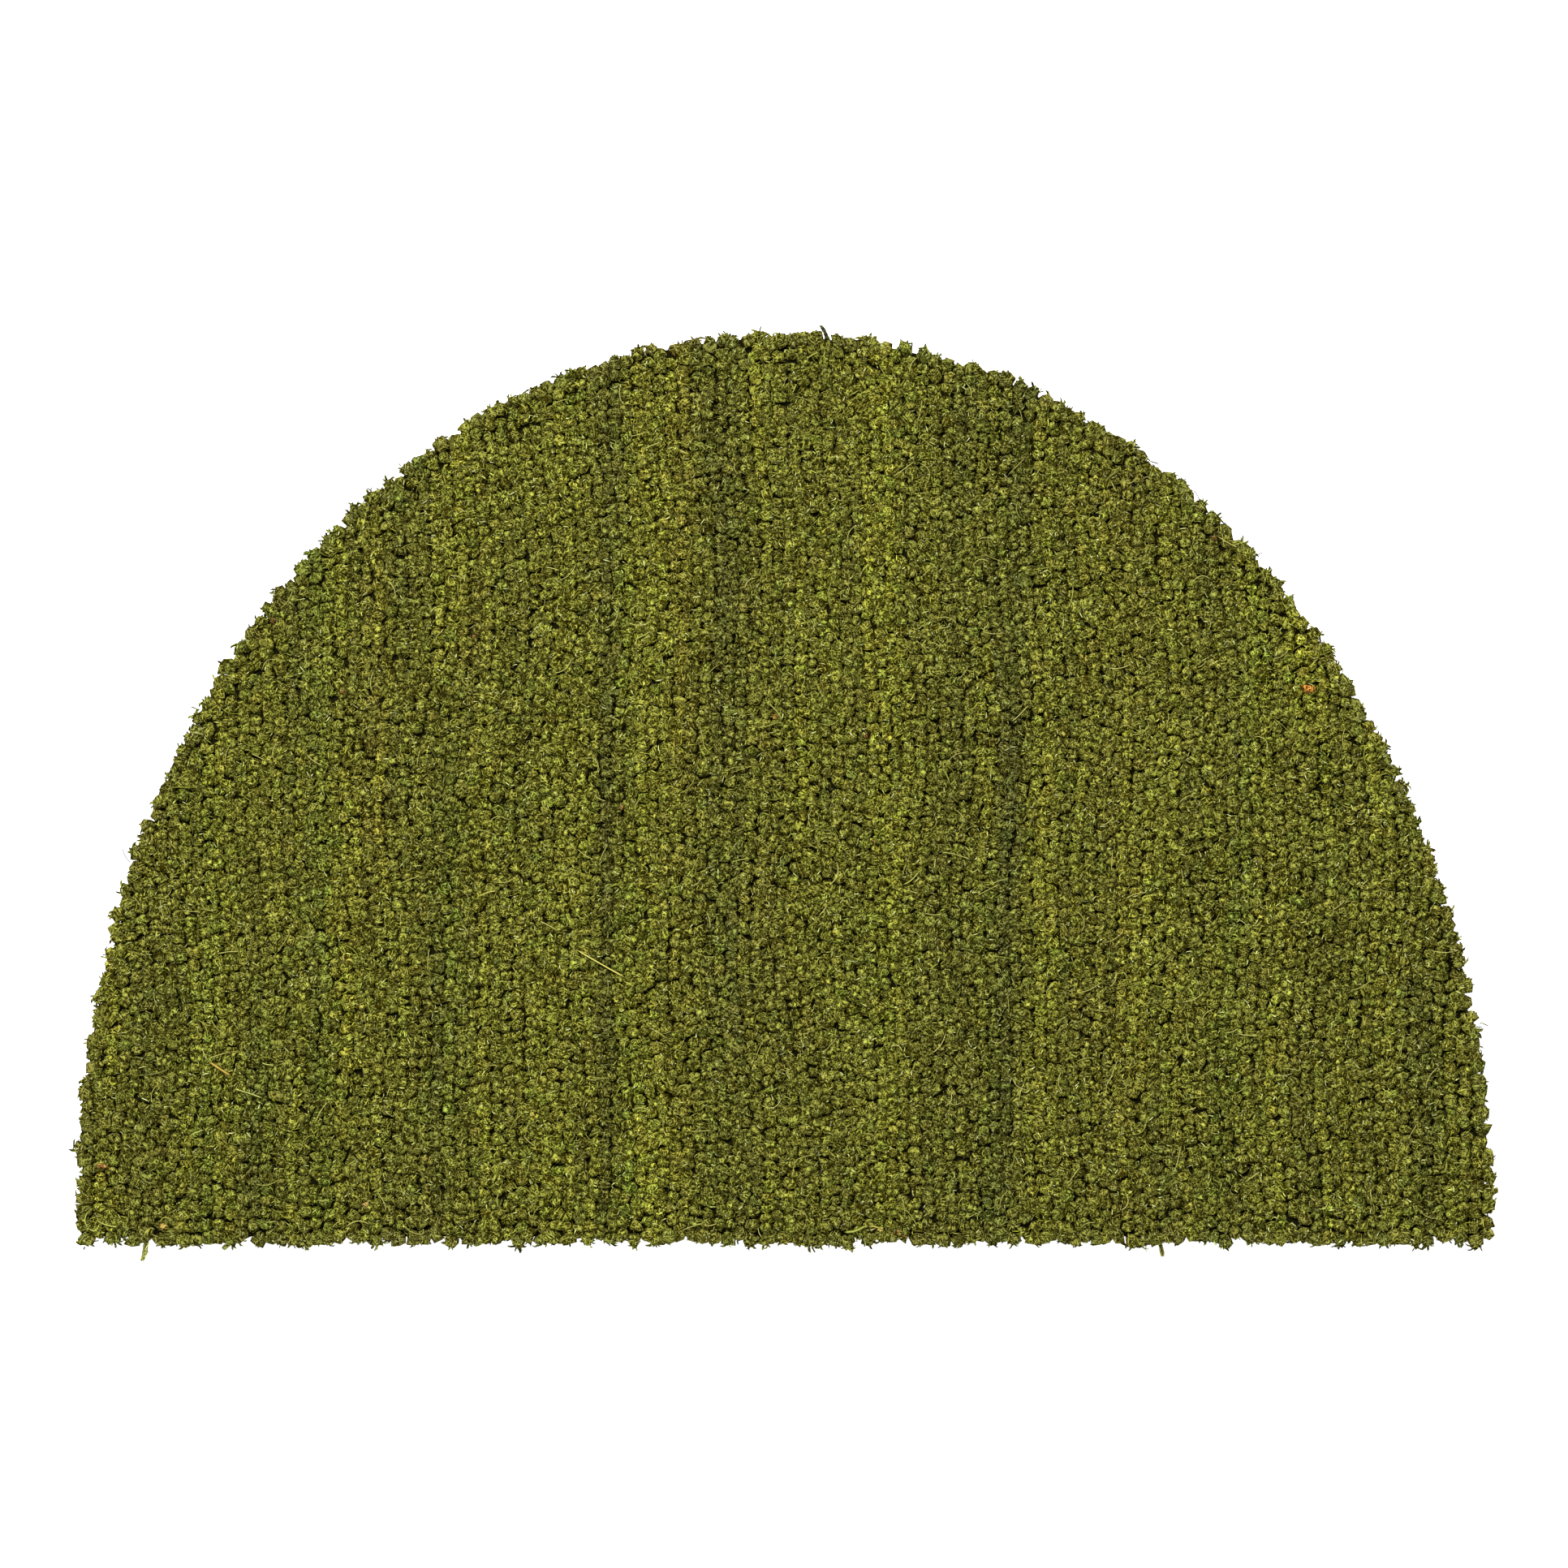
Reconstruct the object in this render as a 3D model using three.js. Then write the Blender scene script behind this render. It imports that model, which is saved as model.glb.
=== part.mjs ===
// A half round doormat of dyed coconut fibre: a dense field of short cut yarn ends, stuck
// upright in a thin dark backing sheet.
//
// Units are millimetres, +Z is up. The mat lies flat with its straight edge towards -Y and the
// crown of its arc towards +Y. The origin is the middle of the underside.

import * as THREE from "three";
import { mergeVertices } from "three/addons/utils/BufferGeometryUtils.js";

// Driving dimensions of the whole mat.
const MAT_WIDTH = 700;
const MAT_DEPTH = 450;
const SIDE_BAND = 17; // straight run at each end of the arc, square to the straight edge

// The backing is cut a little inside the pile's outline, because the rim's yarn ends lean out.
const BACKING_THICKNESS = 2.5;
const BACKING_INSET = 3;
const BACKING_EDGE_STEP = 9;

// The pile stands on the backing with a hair's gap, so the two stay separate solids.
const JOINT_GAP = 0.3;
const PILE_HEIGHT = 13.7;
const TUFT_PITCH = 6.2; // spacing of the yarn ends, and so of the locks round the rim

// How the rim stands: locks bulge out highest a little below the cut tips.
const LOCK_HEIGHT = 0.66; // height of the lock's furthest point, as a share of the pile's
const LOCK_HEIGHT_SPREAD = 0.3;
const LOCK_REACH = 1.3; // mean distance of a lock's point past the nominal outline
const LOCK_REACH_SPREAD = 2.6; // how much the reach of neighbouring locks differs
const VALLEY_DEPTH = 1.8; // how far the pile draws back between two locks
const SHOULDER_INSET = 4; // where the pile reaches its full height, inside the outline
const SHOULDER_DROP = 1.2; // the cut tips round over a little before they reach the rim

// The top is lumpy: single yarn ends stand proud, and the whole field rolls a little.
const LUMP_HEIGHT = 1.1; // the furthest that a lump stands above or below the mean top
const LUMP_PITCH = 12.4; // the lumps are two yarn ends apart
const SWELL_HEIGHT = 0.5;
const SWELL_LENGTH = 95;

// Locks that stand out further than their neighbours. Each row gives the place on the outline,
// how far the point reaches past it and how high it lies on the pile. A loose yarn end is a lock
// only as far as it is thick: the thin thread beyond is not part of the slab.
const LONG_LOCKS = [
  { name: "loose end, straight edge left", x: -318, y: -225, reach: 4.8, height: 0.3 },
  { name: "short end, straight edge left", x: -275, y: -225, reach: 3.6, height: 0.4 },
  { name: "loose end, straight edge right", x: 188, y: -225, reach: 4.4, height: 0.35 },
  { name: "corner tuft, left", x: -350, y: -225, reach: 3.2, height: 0.6 },
  { name: "pointed lock, left side", x: -349, y: -183, reach: 3.5, height: 0.7 },
  { name: "knobby lock, right side", x: 350, y: -201, reach: 4.8, height: 0.6 },
  { name: "thin end at the crown", x: 18, y: 225, reach: 3, height: 0.9 },
];

// The rings of the mesh shrink towards this point of the plan.
const MIDDLE = new THREE.Vector2(0, -MAT_DEPTH / 8);
const FULL_TURN = 2 * Math.PI;

const COLOURS = {
  backing: 0x2b261d,
  pile: 0x61612b,
};

// Repeatable scatter from 0 to 1 for a whole number, so each build gives the same mat.
function scatter(index, salt) {
  const wave = Math.sin(index * 12.9898 + salt * 78.233) * 43758.5453;
  return wave - Math.floor(wave);
}

// A scatter around a mean, evenly spread over a whole spread.
function around(mean, spread, index, salt) {
  return mean + spread * (scatter(index, salt) - 0.5);
}

// The outline of the mat, drawn in by an inset: a straight edge, two short square sides and
// half an ellipse. It is an array of evenly spaced points, anticlockwise seen from above, which
// starts halfway along the straight edge.
function outline(inset, step) {
  const halfWidth = MAT_WIDTH / 2 - inset;
  const front = -MAT_DEPTH / 2 + inset;
  const springing = -MAT_DEPTH / 2 + SIDE_BAND;
  const rise = MAT_DEPTH / 2 - inset - springing;
  const line = (x0, y0, x1, y1) =>
    new THREE.LineCurve(new THREE.Vector2(x0, y0), new THREE.Vector2(x1, y1));
  const runs = [
    line(0, front, halfWidth, front),
    line(halfWidth, front, halfWidth, springing),
    new THREE.EllipseCurve(0, springing, halfWidth, rise, 0, Math.PI),
    line(-halfWidth, springing, -halfWidth, front),
    line(-halfWidth, front, 0, front),
  ];
  return runs.flatMap((run) => {
    const pieces = Math.round(run.getLength() / step);
    return pieces ? run.getSpacedPoints(pieces).slice(0, -1) : [];
  });
}

// The direction that faces away from the mat at each point of an outline.
function outwardDirections(points) {
  return points.map((point, i) => {
    const before = points.at(i - 1);
    const after = points[(i + 1) % points.length];
    return new THREE.Vector2(after.y - before.y, before.x - after.x).normalize();
  });
}

// How far round the mat a point lies, from 0 at the middle of the straight edge to 1.
function turnOf(point) {
  const fromMinusY = Math.atan2(point.x - MIDDLE.x, MIDDLE.y - point.y);
  return ((fromMinusY + FULL_TURN) % FULL_TURN) / FULL_TURN;
}

// A closed surface under construction: a list of corners and a list of triangles.
class Surface {
  corners = [];
  triangles = [];

  // Adds a ring of points. It is returned as the numbers of its corners, each with its turn.
  ring(points, turns = points.map(turnOf)) {
    const first = this.corners.length;
    this.corners.push(...points);
    return points.map((_, i) => ({ number: first + i, turn: turns[i] }));
  }

  // Joins two closed rings, the second above the first or inside it. Each triangle goes on by
  // one corner on the ring that has turned less, so their numbers of corners may differ.
  join(lower, upper) {
    const corner = (ring, i) => ring[i % ring.length].number;
    const turn = (ring, i) => (i < ring.length ? ring[i].turn : 1);
    let low = 0;
    let high = 0;
    while (low < lower.length || high < upper.length) {
      const from = corner(lower, low);
      const over = corner(upper, high);
      const lowIsBehind = turn(lower, low + 1) < turn(upper, high + 1);
      const step = low < lower.length && (lowIsBehind || high === upper.length);
      const next = step ? corner(lower, ++low) : corner(upper, ++high);
      this.triangles.push([from, next, over]);
    }
  }

  // Closes a flat ring with triangles that face down, or up.
  cap(ring, facesUp) {
    const flat = ring.map(({ number }) => this.corners[number]);
    for (const triangle of THREE.ShapeUtils.triangulateShape(flat, [])) {
      const numbers = triangle.map((i) => ring[i].number);
      this.triangles.push(facesUp ? numbers : numbers.reverse());
    }
  }

  // Closes a ring with a fan of triangles to one point above or inside it.
  fan(ring, point) {
    const [tip] = this.ring([point]);
    ring.forEach(({ number }, i) => {
      this.triangles.push([number, ring[(i + 1) % ring.length].number, tip.number]);
    });
  }

  geometry() {
    const made = new THREE.BufferGeometry();
    const coordinates = this.corners.flatMap((corner) => corner.toArray());
    made.setAttribute("position", new THREE.Float32BufferAttribute(coordinates, 3));
    made.setIndex(this.triangles.flat());
    return mergeVertices(made);
  }
}

const at = (point, z) => new THREE.Vector3(point.x, point.y, z);

// The backing: a flat sheet with the mat's outline.
function backingGeometry() {
  const sheet = new Surface();
  const edge = outline(BACKING_INSET, BACKING_EDGE_STEP);
  const bottom = sheet.ring(edge.map((point) => at(point, 0)));
  const top = sheet.ring(edge.map((point) => at(point, BACKING_THICKNESS)));
  sheet.cap(bottom, false);
  sheet.join(bottom, top);
  sheet.cap(top, true);
  return sheet.geometry();
}

// Lifts a point to the pile's top there: a rolling swell, with one lump's own difference.
function onTop(point, index) {
  const swell = Math.sin(point.x / SWELL_LENGTH) * Math.cos(point.y / SWELL_LENGTH);
  const mean = BACKING_THICKNESS + JOINT_GAP + PILE_HEIGHT + SWELL_HEIGHT * swell;
  return at(point, around(mean, 2 * LUMP_HEIGHT, index, 3));
}

// A lock's reach and height on the rim: its own if it is a long one, otherwise scattered.
function lockAt(point, index) {
  const long = LONG_LOCKS.find(
    (lock) => Math.hypot(lock.x - point.x, lock.y - point.y) < TUFT_PITCH / 2,
  );
  return long ?? {
    reach: around(LOCK_REACH, LOCK_REACH_SPREAD, index, 1),
    height: around(LOCK_HEIGHT, LOCK_HEIGHT_SPREAD, index, 2),
  };
}

// The pile: a lumpy slab whose side bulges into one lock for each yarn end round the rim.
function pileGeometry() {
  const slab = new Surface();
  const base = BACKING_THICKNESS + JOINT_GAP;
  const roots = outline(0, TUFT_PITCH);
  const outward = outwardDirections(roots);
  const moved = (i, distance) => roots[i].clone().addScaledVector(outward[i], distance);

  // The side: a foot over the backing's edge, a ring of lock points with a valley after each,
  // and a shoulder where the cut tips begin.
  const turns = roots.map(turnOf);
  const lockTurns = turns.flatMap((turn, i) => [turn, (turn + (turns[i + 1] ?? 1)) / 2]);
  const foot = slab.ring(roots.map((_, i) => at(moved(i, -BACKING_INSET), base)), turns);
  const bulge = slab.ring(
    roots.flatMap((point, i) => {
      const next = (i + 1) % roots.length;
      const lock = lockAt(point, i);
      const valley = moved(i, -VALLEY_DEPTH).lerp(moved(next, -VALLEY_DEPTH), 0.5);
      return [
        at(moved(i, lock.reach), base + PILE_HEIGHT * lock.height),
        at(valley, base + PILE_HEIGHT * LOCK_HEIGHT),
      ];
    }),
    lockTurns,
  );
  const drop = new THREE.Vector3(0, 0, SHOULDER_DROP);
  const shoulder = slab.ring(
    roots.map((_, i) => onTop(moved(i, -SHOULDER_INSET), i).sub(drop)),
    turns,
  );
  slab.cap(foot, false);
  slab.join(foot, bulge);
  slab.join(bulge, shoulder);

  // The top: rings of lumps that shrink evenly towards the middle.
  const rings = Math.round(MAT_DEPTH / 2 / LUMP_PITCH);
  let outer = shoulder;
  for (let ring = 1; ring < rings; ring++) {
    const size = 1 - ring / rings;
    const lumps = outline(SHOULDER_INSET, LUMP_PITCH / size);
    const inner = slab.ring(
      lumps.map((point, i) => onTop(point.lerp(MIDDLE, 1 - size), ring * roots.length + i)),
    );
    slab.join(outer, inner);
    outer = inner;
  }
  slab.fan(outer, onTop(MIDDLE, 0));
  return slab.geometry();
}

function piece(name, geometry, roughness) {
  const material = new THREE.MeshStandardMaterial({
    color: COLOURS[name],
    roughness,
    metalness: 0,
  });
  const mesh = new THREE.Mesh(geometry, material);
  mesh.name = name;
  return mesh;
}

const mat = new THREE.Group();
mat.add(piece("backing", backingGeometry(), 0.7));
mat.add(piece("pile", pileGeometry(), 1));

export default mat;
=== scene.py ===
"""A half round doormat of dyed coconut fibre, seen from straight above on a white floor.

Lengths are millimetres here and metres in Blender. +X runs along the straight edge, +Y from it
to the crown of the arc, +Z up out of the pile.
"""

from types import SimpleNamespace

import bpy
import numpy as np
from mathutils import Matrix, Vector


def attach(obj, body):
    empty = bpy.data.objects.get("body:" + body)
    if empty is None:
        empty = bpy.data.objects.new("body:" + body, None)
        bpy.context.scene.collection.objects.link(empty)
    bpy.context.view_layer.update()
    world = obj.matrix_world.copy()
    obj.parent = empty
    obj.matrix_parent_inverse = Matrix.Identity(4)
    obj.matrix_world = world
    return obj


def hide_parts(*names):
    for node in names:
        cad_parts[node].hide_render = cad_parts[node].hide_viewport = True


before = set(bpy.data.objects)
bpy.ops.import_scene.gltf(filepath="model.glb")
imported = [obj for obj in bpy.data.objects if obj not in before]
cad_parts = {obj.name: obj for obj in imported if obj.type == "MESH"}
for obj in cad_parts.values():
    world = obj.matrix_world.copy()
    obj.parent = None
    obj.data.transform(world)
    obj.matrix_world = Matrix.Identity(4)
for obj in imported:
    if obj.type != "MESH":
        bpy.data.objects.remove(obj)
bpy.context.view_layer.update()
MM = 0.001


# The camera hangs over the mat with a long lens and looks straight down. The mat's middle lies
# a little off the picture's, and the picture is as wide as what it shows of the pile's top.
PICTURE_WIDTH = 775.9
CAMERA_HEIGHT = 2400
CAMERA_OVER = (0.4, 1.6)
PILE_TOP = 16.5
SENSOR = 36
FARTHEST_SEEN = 20000

camera_data = bpy.data.cameras.new("camera")
camera_data.sensor_width = SENSOR
camera_data.lens = SENSOR * (CAMERA_HEIGHT - PILE_TOP) / PICTURE_WIDTH
camera_data.clip_end = FARTHEST_SEEN * MM
camera = bpy.data.objects.new("camera", camera_data)
camera.location = Vector((*CAMERA_OVER, CAMERA_HEIGHT)) * MM
bpy.context.scene.collection.objects.link(camera)
bpy.context.scene.camera = camera


# A plain matt white floor, a broad soft light high up behind the crown, and a pale room around
# them. The floor glows a little, as a lit table does, so it stays paper white under the edges.
FLOOR_SIZE = 8000
FLOOR_COLOUR = "#f2f2f2"
GLOW_COLOUR = "#ffffff"
FLOOR_GLOW = 0.8
LIGHT_AT = Vector((-350, 900, 2300))
LIGHT_AIM = Vector((0, 0, 0))
LIGHT_WIDTH = 900
LIGHT_POWER = 70
ROOM_COLOUR = "#ffffff"
ROOM_STRENGTH = 0.62


def linear(colour):
    """Turns an sRGB colour such as "#61612b" into linear red, green and blue."""
    channels = np.array([int(colour[i : i + 2], 16) for i in (1, 3, 5)]) / 255
    return np.where(
        channels <= 0.04045, channels / 12.92, ((channels + 0.055) / 1.055) ** 2.4
    )


def add_node(material, kind, links=(), **settings):
    """Adds a node. Its links are pairs of an input and the socket that feeds it. A setting
    named for an input gives its value, and any other one is a property of the node."""
    node = material.node_tree.nodes.new(kind)
    for name, value in settings.items():
        if hasattr(node, name):
            setattr(node, name, value)
        else:
            node.inputs[name.replace("_", " ")].default_value = value
    for name, socket in links:
        material.node_tree.links.new(node.inputs[name], socket)
    return node


def surface_material(name):
    """A new material that has no nodes yet."""
    material = bpy.data.materials.new(name)
    material.use_nodes = True
    material.node_tree.nodes.clear()
    return material


def finish_material(material, shader):
    """Joins a shader to the material's output."""
    add_node(material, "ShaderNodeOutputMaterial", [("Surface", shader.outputs["BSDF"])])


def rgba(colour):
    """An sRGB colour as a shader's input takes it: linear, and fully opaque."""
    return (*linear(colour), 1)


def mesh_object(name, points, triangles, colours=None, runs=None):
    """A smooth mesh of points in millimetres and triangles. Each point may have a colour, and
    a run: its place across and along the fibres there, and its bud's or fibre's own number."""
    mesh = bpy.data.meshes.new(name)
    mesh.vertices.add(len(points))
    mesh.vertices.foreach_set("co", (points * MM).astype(np.float32).ravel())
    mesh.loops.add(triangles.size)
    mesh.loops.foreach_set("vertex_index", triangles.astype(np.int32).ravel())
    mesh.polygons.add(len(triangles))
    mesh.polygons.foreach_set("loop_start", np.arange(0, triangles.size, 3, dtype=np.int32))
    mesh.polygons.foreach_set("use_smooth", np.ones(len(triangles), bool))
    mesh.update(calc_edges=True)
    if colours is not None:
        attribute = mesh.attributes.new("dye", "FLOAT_COLOR", "POINT")
        filled = np.ones((len(points), 4), np.float32)
        filled[:, :3] = colours
        attribute.data.foreach_set("color", filled.ravel())
    if runs is not None:
        attribute = mesh.attributes.new("run", "FLOAT_VECTOR", "POINT")
        attribute.data.foreach_set("vector", runs.astype(np.float32).ravel())
    made = bpy.data.objects.new(name, mesh)
    bpy.context.scene.collection.objects.link(made)
    return made


floor_corners = np.array([[-1, -1, 0], [1, -1, 0], [1, 1, 0], [-1, 1, 0]]) * FLOOR_SIZE / 2
floor = mesh_object("floor", floor_corners, np.array([[0, 1, 2], [0, 2, 3]]))
floor_paint = surface_material("matt white floor paint")
finish_material(
    floor_paint,
    add_node(
        floor_paint,
        "ShaderNodeBsdfPrincipled",
        Base_Color=rgba(FLOOR_COLOUR),
        Roughness=0.9,
        Specular_IOR_Level=0.0,
        Emission_Color=rgba(GLOW_COLOUR),
        Emission_Strength=FLOOR_GLOW,
    ),
)
floor.data.materials.append(floor_paint)

lamp_data = bpy.data.lights.new("soft light", "AREA")
lamp_data.shape = "DISK"
lamp_data.size = LIGHT_WIDTH * MM
lamp_data.energy = LIGHT_POWER
lamp = bpy.data.objects.new("soft light", lamp_data)
lamp.location = LIGHT_AT * MM
lamp.rotation_euler = (LIGHT_AIM - LIGHT_AT).to_track_quat("-Z", "Y").to_euler()
bpy.context.scene.collection.objects.link(lamp)

room = bpy.data.worlds.new("pale room")
room.use_nodes = True
room.node_tree.nodes["Background"].inputs["Color"].default_value = rgba(ROOM_COLOUR)
room.node_tree.nodes["Background"].inputs["Strength"].default_value = ROOM_STRENGTH
bpy.context.scene.world = room
bpy.context.scene.view_settings.view_transform = "Standard"


# The backing is a thin flexible sheet of dark soft plastic, cast onto the yarns' feet and cut
# with the pile to the half round. Its cut edge shows as a dark line under the rim's yarns.
MAT_WIDTH = 700
MAT_DEPTH = 450
SIDE_BAND = 17  # each side runs square to the straight edge for so long, and then the arc starts

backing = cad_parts["backing"]

# Soft PVC, cast on a fabric belt: matt, nearly black brown, with a fine pebbled grain and a
# dusty bloom, so it gives the eye only a broad dull gleam.
BACKING_COLOUR = "#2b261d"
BACKING_BLOOM = "#3b352a"
PEBBLE = 1.2  # one grain of the belt's print
PEBBLE_HEIGHT = 0.2
BLOOM_PATCH = 40

cast_plastic = surface_material("cast soft PVC")
where = add_node(cast_plastic, "ShaderNodeTexCoord").outputs["Object"]
pebbles = add_node(
    cast_plastic, "ShaderNodeTexVoronoi", [("Vector", where)], Scale=1 / (PEBBLE * MM)
)
bloom = add_node(
    cast_plastic,
    "ShaderNodeTexNoise",
    [("Vector", where)],
    Scale=1 / (BLOOM_PATCH * MM),
    Detail=5.0,
)
# A mix of colours takes its two colours at the inputs 6 and 7.
shade = add_node(cast_plastic, "ShaderNodeMix", [(0, bloom.outputs[0])], data_type="RGBA")
shade.inputs[6].default_value = rgba(BACKING_COLOUR)
shade.inputs[7].default_value = rgba(BACKING_BLOOM)
grain = add_node(
    cast_plastic,
    "ShaderNodeBump",
    [("Height", pebbles.outputs["Distance"])],
    Strength=0.35,
    Distance=PEBBLE_HEIGHT * MM,
)
finish_material(
    cast_plastic,
    add_node(
        cast_plastic,
        "ShaderNodeBsdfPrincipled",
        [("Base Color", shade.outputs[2]), ("Normal", grain.outputs["Normal"])],
        Roughness=0.65,
        IOR=1.53,
    ),
)
backing.data.materials.clear()
backing.data.materials.append(cast_plastic)


# The bed is the yarns' lower halves, packed so close that nothing but a dark, rough mass shows
# down between the tips. They are coconut fibre yarns, stuck upright in the backing.
BED_INSET = 3.0  # at the foot
BED_EDGE_INSET = 2.2  # at the top
BED_FOOT = 2.8
BED_TOP = 11.5
BED_BUMPS = 0.5  # how unevenly high its top is, as a standard deviation
BED_TURNS = 420
BED_RINGS = 20
BED_HUB = 0.05  # the innermost ring's size, as a share of the outermost
MAT_MIDDLE = np.array([0, -55])  # the rings shrink towards this point of the plan
SPRINGING = -MAT_DEPTH / 2 + SIDE_BAND  # where the arc starts, measured along Y
RISE = MAT_DEPTH / 2 - SPRINGING
ARC_STEPS = 4000

# All that falls by chance is drawn from here, so every run gives the same mat.
chance = np.random.default_rng(20)


def outline(inset, count):
    """Points at even distances round the mat's outline, drawn in by an inset, and the outward
    directions there. The outline is the straight edge, two short sides and half an ellipse,
    anticlockwise from the front left corner."""
    half, front, rise = MAT_WIDTH / 2 - inset, -MAT_DEPTH / 2 + inset, RISE - inset
    angle = np.linspace(0, np.pi, ARC_STEPS + 1)
    arc = np.stack([half * np.cos(angle), SPRINGING + rise * np.sin(angle)], 1)
    line = np.concatenate([[[-half, front], [half, front]], arc, [[-half, front]]])
    run = np.concatenate([[0], np.cumsum(np.hypot(*np.diff(line, axis=0).T))])
    stops = np.arange(count) * run[-1] / count
    points = np.stack([np.interp(stops, run, line[:, i]) for i in (0, 1)], 1)
    ahead = np.roll(points, -1, 0) - np.roll(points, 1, 0)
    outward = np.stack([ahead[:, 1], -ahead[:, 0]], 1)
    return points, outward / np.hypot(*outward.T)[:, None]


def grid_triangles(rows, turns):
    """Two triangles for each cell of a grid whose rows are closed rings, each above or inside
    the one before it."""
    row, turn = np.meshgrid(np.arange(rows - 1), np.arange(turns), indexing="ij")
    here, right = row * turns + turn, row * turns + (turn + 1) % turns
    above, beyond = here + turns, right + turns
    cells = np.stack([here, right, beyond, here, beyond, above], -1)
    return cells.reshape(-1, 3)


def fan_triangles(ring, tip, upward):
    """Triangles from a ring of corner numbers to one corner, which face up or down."""
    after = np.roll(ring, -1)
    fan = np.stack([ring, after, np.full_like(ring, tip)], 1)
    return fan if upward else fan[:, ::-1]


# Its first ring is the foot, the second the edge of its top, and the others fill the top.
bed_foot, _ = outline(BED_INSET, BED_TURNS)
bed_edge, _ = outline(BED_EDGE_INSET, BED_TURNS)
bed_sizes = np.concatenate([[1, 1], np.linspace(1, BED_HUB, BED_RINGS)[1:]])
bed_plan = MAT_MIDDLE + (bed_edge - MAT_MIDDLE) * bed_sizes[:, None, None]
bed_plan[0] = bed_foot
bed_heights = chance.normal(BED_TOP, BED_BUMPS, bed_plan.shape[:2])
bed_heights[0] = BED_FOOT
bed_points = np.concatenate([bed_plan, bed_heights[..., None]], 2).reshape(-1, 3)
bed_points = np.concatenate([bed_points, [[*MAT_MIDDLE, BED_FOOT], [*MAT_MIDDLE, BED_TOP]]])
bed_first = np.arange(BED_TURNS)
bed_last = bed_first + (len(bed_sizes) - 1) * BED_TURNS
bed_triangles = np.concatenate(
    [
        grid_triangles(len(bed_sizes), BED_TURNS),
        fan_triangles(bed_first, len(bed_points) - 2, False),
        fan_triangles(bed_last, len(bed_points) - 1, True),
    ]
)
bed = mesh_object("pile_bed", bed_points, bed_triangles)

# Dyed coconut fibre with painted shade: the dye's olive painted almost black, as the gaps between
# the tips get almost no light.
BED_SHADE_COLOUR = "#161504"
TANGLE = 0.8  # from one fibre to the next
TANGLE_HEIGHT = 0.6

shaded_fibre = surface_material("dyed coconut fibre in the shade")
where = add_node(shaded_fibre, "ShaderNodeTexCoord").outputs["Object"]
tangle = add_node(
    shaded_fibre, "ShaderNodeTexNoise", [("Vector", where)], Scale=1 / (TANGLE * MM), Detail=2.0
)
rough = add_node(
    shaded_fibre, "ShaderNodeBump", [("Height", tangle.outputs[0])], Distance=TANGLE_HEIGHT * MM
)
finish_material(
    shaded_fibre,
    add_node(
        shaded_fibre,
        "ShaderNodeBsdfPrincipled",
        [("Normal", rough.outputs["Normal"])],
        Base_Color=rgba(BED_SHADE_COLOUR),
        Roughness=0.95,
        IOR=1.5,
        Specular_IOR_Level=0.1,
    ),
)


def add_to_pile(made, material):
    """Makes an object a piece of the pile. Its map for baking is its plan, seen from above."""
    mesh = made.data
    mesh.materials.append(material)
    points = np.zeros(len(mesh.vertices) * 3, np.float32)
    corners = np.zeros(len(mesh.loops), np.int32)
    mesh.vertices.foreach_get("co", points)
    mesh.loops.foreach_get("vertex_index", corners)
    plan = points.reshape(-1, 3)[:, :2]
    low, high = plan.min(0), plan.max(0)
    places = ((plan - low) / (high - low).max())[corners]
    mesh.uv_layers.new(name="OFBake").data.foreach_set("uv", places.ravel())
    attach(made, "root")
    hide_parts("pile")


add_to_pile(bed, shaded_fibre)


# The tufts are the upper halves and cut ends of the yarns, each burst into curled fibres. They
# stand in columns that run from the straight edge to the arc, every second one half a pitch
# further on, so the yarns fit into each other's gaps. Those of the rim lean out over it.
TUFT_ACROSS = 5.8  # pitch from column to column
TUFT_ALONG = 5.2  # pitch within a column
FIELD_HALF_WIDTH = 370  # the columns start out wider and longer than the mat, which cuts them
FIELD_HALF_DEPTH = 240
COLUMN_SHIFT = 0.6  # how far a whole column strays from its place, as a standard deviation
TUFT_SHIFT = 0.7  # how far a tuft strays from its place in the column
WANDER = 2.6  # the columns snake together by this much
FIELD_INSET = 1.5  # no yarn is stuck nearer to the outline than this
RIM_DEPTH = 5.0  # yarns nearer to the outline than this lean out over it

columns = np.arange(-FIELD_HALF_WIDTH, FIELD_HALF_WIDTH, TUFT_ACROSS)
rows = np.arange(-FIELD_HALF_DEPTH, FIELD_HALF_DEPTH, TUFT_ALONG)
column_x, row_y = np.meshgrid(columns, rows, indexing="ij")
staggered = np.arange(len(columns)) % 2 * TUFT_ALONG / 2
row_y = row_y + (staggered + chance.normal(0, COLUMN_SHIFT, len(columns)))[:, None]
column_x = column_x + chance.normal(0, COLUMN_SHIFT, len(columns))[:, None]
column_x = column_x + chance.normal(0, TUFT_SHIFT, column_x.shape)
row_y = row_y + chance.normal(0, TUFT_SHIFT, row_y.shape)
# Two slow waves run along the columns, each a little further on in the next column.
snake = np.sin(row_y / 41 + column_x / 130) + 0.6 * np.sin(row_y / 23 - column_x / 61 + 2)
field = np.stack([column_x + WANDER * snake, row_y], -1).reshape(-1, 2)

# Each column is stuck from its own yarn, whose dye differs a little and changes slowly.
COLUMN_SPREAD = 0.12
COLUMN_DYE_LENGTH = 100

dye_stops = np.arange(-300, 301, COLUMN_DYE_LENGTH)
column_dyes = chance.normal(0, COLUMN_SPREAD, (len(columns), len(dye_stops)))
column_dyes = [np.interp(y, dye_stops, stops) for y, stops in zip(row_y, column_dyes)]
column_dyes = np.concatenate(column_dyes)


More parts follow.
